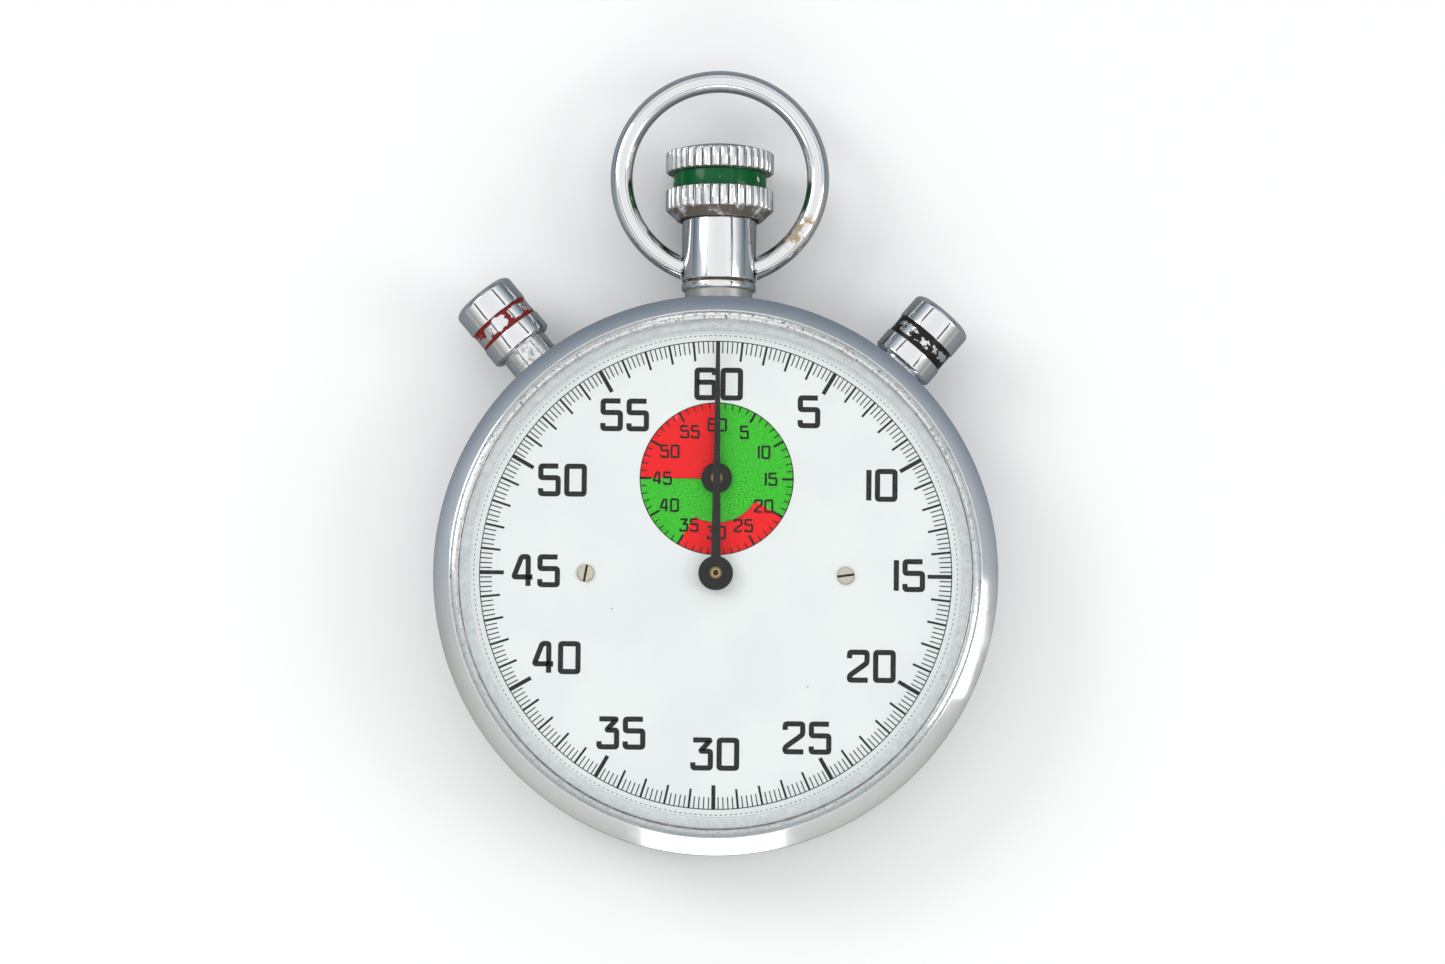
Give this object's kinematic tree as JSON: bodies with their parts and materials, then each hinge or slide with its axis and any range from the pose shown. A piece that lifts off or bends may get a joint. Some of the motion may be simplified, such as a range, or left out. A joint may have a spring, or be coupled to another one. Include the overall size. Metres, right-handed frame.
{
  "type": "stopwatch",
  "caption": "Mechanical pocket stopwatch in a round chromed case, with a swinging bow, a fluted crown, side pushers, a domed crystal and a small minute counter dial.",
  "frame": {"origin": "centre of the flat back face", "axes": "+Z out of the dial, +Y towards 12 o'clock and the crown, +X towards 3 o'clock"},
  "size_m": [0.056, 0.0793, 0.0144],
  "materials": {
    "chrome": "polished chrome plate, worn and smudged",
    "steel": "fine-ground steel",
    "blued_steel": "heat-blued steel",
    "nickel": "nickel-plated brass",
    "brass": "satin brass",
    "crystal": "clear domed acrylic, lightly scratched",
    "dial_white": "white enamel paint, slightly specked",
    "hand_black": "black lacquered steel",
    "green_lacquer": "green lacquer",
    "red_lacquer": "dark red lacquer, mostly worn away",
    "black_lacquer": "black lacquer, mostly worn away",
    "ruby": "synthetic ruby"
  },
  "bodies": {
    "case": {"case_middle": "chrome", "bezel": "chrome", "crystal": "crystal", "back_cover": "chrome", "movement_ring": "brass", "pendant_tube": "chrome", "crown_return_spring": "steel", "left_push_tube": "brass", "left_push_spring": "steel", "right_push_tube": "brass", "right_push_spring": "steel", "dial": "dial_white", "dial_screws": "nickel", "main_plate": "brass", "barrel_bridge": "nickel", "train_bridge": "nickel", "balance_cock": "nickel", "bridge_screws": "blued_steel", "jewels": "ruby", "click_spring": "blued_steel"},
    "bow": {"bow": "chrome"},
    "crown_slider": {"crown_sleeve": "brass"},
    "crown": {"crown": "chrome", "crown_colour_ring": "green_lacquer", "winding_stem": "steel"},
    "left_pusher": {"left_push_cap": "chrome", "left_push_ring": "red_lacquer", "left_push_stem": "steel"},
    "right_pusher": {"right_push_cap": "chrome", "right_push_ring": "black_lacquer", "right_push_stem": "steel"},
    "seconds_arbor": {"seconds_wheel": "brass", "seconds_heart_cam": "steel", "seconds_hand": "hand_black"},
    "minute_arbor": {"minute_wheel": "brass", "minute_heart_cam": "steel", "minute_hand": "hand_black"},
    "idler_arbor": {"minute_idler": "brass"},
    "third_arbor": {"third_wheel": "brass"},
    "second_arbor": {"second_wheel": "brass"},
    "barrel": {"barrel_drum": "brass", "barrel_cover": "brass", "mainspring": "blued_steel"},
    "winding_arbor": {"barrel_arbor": "steel", "ratchet_wheel": "steel"},
    "transmission": {"transmission_wheel": "steel"},
    "crown_wheel": {"crown_wheel": "steel"},
    "winding_pinion": {"winding_pinion": "steel"},
    "click": {"click": "steel"},
    "escape_arbor": {"escape_wheel": "steel"},
    "fork_arbor": {"pallet_fork": "steel"},
    "balance": {"balance_wheel": "brass", "hairspring": "blued_steel"},
    "reset_hammer": {"reset_hammer": "steel"},
    "stop_lever": {"stop_lever": "steel"},
    "start_lever": {"start_lever": "steel"}
  },
  "joints": [
    {"name": "bow_swing", "type": "hinge", "parent": "case", "child": "bow", "pos_m": [0, 0.0315, 0.006], "axis": [1, 0, 0], "range_deg": [-90, 90]},
    {"name": "crown_press", "type": "slide", "parent": "case", "child": "crown_slider", "axis": [0, -1, 0], "range_m": [0, 0.0012], "stiffness_N_per_m": 2500, "springref_m": -0.0006},
    {"name": "crown_wind", "type": "hinge", "parent": "crown_slider", "child": "crown", "pos_m": [0, 0.039, 0.006], "axis": [0, 1, 0], "continuous": true},
    {"name": "left_push", "type": "slide", "parent": "case", "child": "left_pusher", "axis": [0.6428, -0.766, 0], "range_m": [0, 0.00185], "stiffness_N_per_m": 2000, "springref_m": -0.0006},
    {"name": "right_push", "type": "slide", "parent": "case", "child": "right_pusher", "axis": [0.6428, 0.766, 0], "range_m": [0, 0.00185]},
    {"name": "seconds_spin", "type": "hinge", "parent": "case", "child": "seconds_arbor", "pos_m": [0, 0, 0.006], "axis": [0, 0, 1], "continuous": true},
    {"name": "minute_spin", "type": "hinge", "parent": "case", "child": "minute_arbor", "pos_m": [0, 0.0096, 0.006], "axis": [0, 0, 1], "continuous": true},
    {"name": "idler_spin", "type": "hinge", "parent": "case", "child": "idler_arbor", "pos_m": [0.00288, 0.00461, 0.005], "axis": [0, 0, 1], "continuous": true},
    {"name": "third_spin", "type": "hinge", "parent": "case", "child": "third_arbor", "pos_m": [-0.00486, -0.00343, 0.005], "axis": [0, 0, 1], "continuous": true},
    {"name": "second_spin", "type": "hinge", "parent": "case", "child": "second_arbor", "pos_m": [-0.0119, -0.00192, 0.005], "axis": [0, 0, 1], "continuous": true},
    {"name": "barrel_spin", "type": "hinge", "parent": "case", "child": "barrel", "pos_m": [-0.01117, 0.00645, 0.0043], "axis": [0, 0, 1], "continuous": true},
    {"name": "escape_spin", "type": "hinge", "parent": "case", "child": "escape_arbor", "pos_m": [0.00433, -0.00303, 0.0043], "axis": [0, 0, 1], "continuous": true},
    {"name": "pinion_spin", "type": "hinge", "parent": "case", "child": "winding_pinion", "pos_m": [0, 0.0175, 0.006], "axis": [0, 1, 0], "continuous": true},
    {"name": "crown_wheel_spin", "type": "hinge", "parent": "case", "child": "crown_wheel", "pos_m": [0, 0.0157, 0.0045], "axis": [0, 0, 1], "continuous": true},
    {"name": "transmission_spin", "type": "hinge", "parent": "case", "child": "transmission", "pos_m": [-0.00558, 0.01351, 0.0014], "axis": [0, 0, 1], "continuous": true},
    {"name": "ratchet_spin", "type": "hinge", "parent": "case", "child": "winding_arbor", "pos_m": [-0.01117, 0.00645, 0.0014], "axis": [0, 0, 1], "continuous": true},
    {"name": "click_rock", "type": "hinge", "parent": "case", "child": "click", "pos_m": [-0.01773, 0.00266, 0.0014], "axis": [0, 0, 1], "range_deg": [0, 8]},
    {"name": "fork_rock", "type": "hinge", "parent": "case", "child": "fork_arbor", "pos_m": [0.00666, -0.00536, 0.0044], "axis": [0, 0, 1], "range_deg": [-5, 5]},
    {"name": "balance_swing", "type": "hinge", "parent": "case", "child": "balance", "pos_m": [0.00942, -0.00812, 0.0052], "axis": [0, 0, 1], "range_deg": [-220, 220], "stiffness_Nm_per_rad": 0.0000007},
    {"name": "hammer_rock", "type": "hinge", "parent": "case", "child": "reset_hammer", "pos_m": [0.0062, 0.016, 0.0068], "axis": [0, 0, 1], "range_deg": [-0.1, 2.7]},
    {"name": "stop_lever_rock", "type": "hinge", "parent": "case", "child": "stop_lever", "pos_m": [-0.0094, 0.0172, 0.0068], "axis": [0, 0, 1], "range_deg": [-0.1, 2.7]},
    {"name": "start_lever_rock", "type": "hinge", "parent": "case", "child": "start_lever", "pos_m": [-0.0042, 0.0162, 0.0068], "axis": [0, 0, 1], "range_deg": [-5.8, 0.1]}
  ],
  "couplings": [
    {"joint": "idler_spin", "follows": "seconds_spin", "ratio": -0.13333},
    {"joint": "minute_spin", "follows": "seconds_spin", "ratio": 0.016667},
    {"joint": "third_spin", "follows": "seconds_spin", "ratio": -0.13333},
    {"joint": "second_spin", "follows": "seconds_spin", "ratio": 0.016667},
    {"joint": "barrel_spin", "follows": "seconds_spin", "ratio": -0.0027778},
    {"joint": "escape_spin", "follows": "seconds_spin", "ratio": -10},
    {"joint": "pinion_spin", "follows": "crown_wind", "ratio": 1},
    {"joint": "crown_wheel_spin", "follows": "crown_wind", "ratio": 0.5},
    {"joint": "transmission_spin", "follows": "crown_wind", "ratio": -0.5},
    {"joint": "ratchet_spin", "follows": "crown_wind", "ratio": 0.25},
    {"joint": "hammer_rock", "follows": "right_push", "rad_per_m": 24.3},
    {"joint": "stop_lever_rock", "follows": "left_push", "rad_per_m": 24.3},
    {"joint": "start_lever_rock", "follows": "crown_press", "rad_per_m": -83}
  ]
}
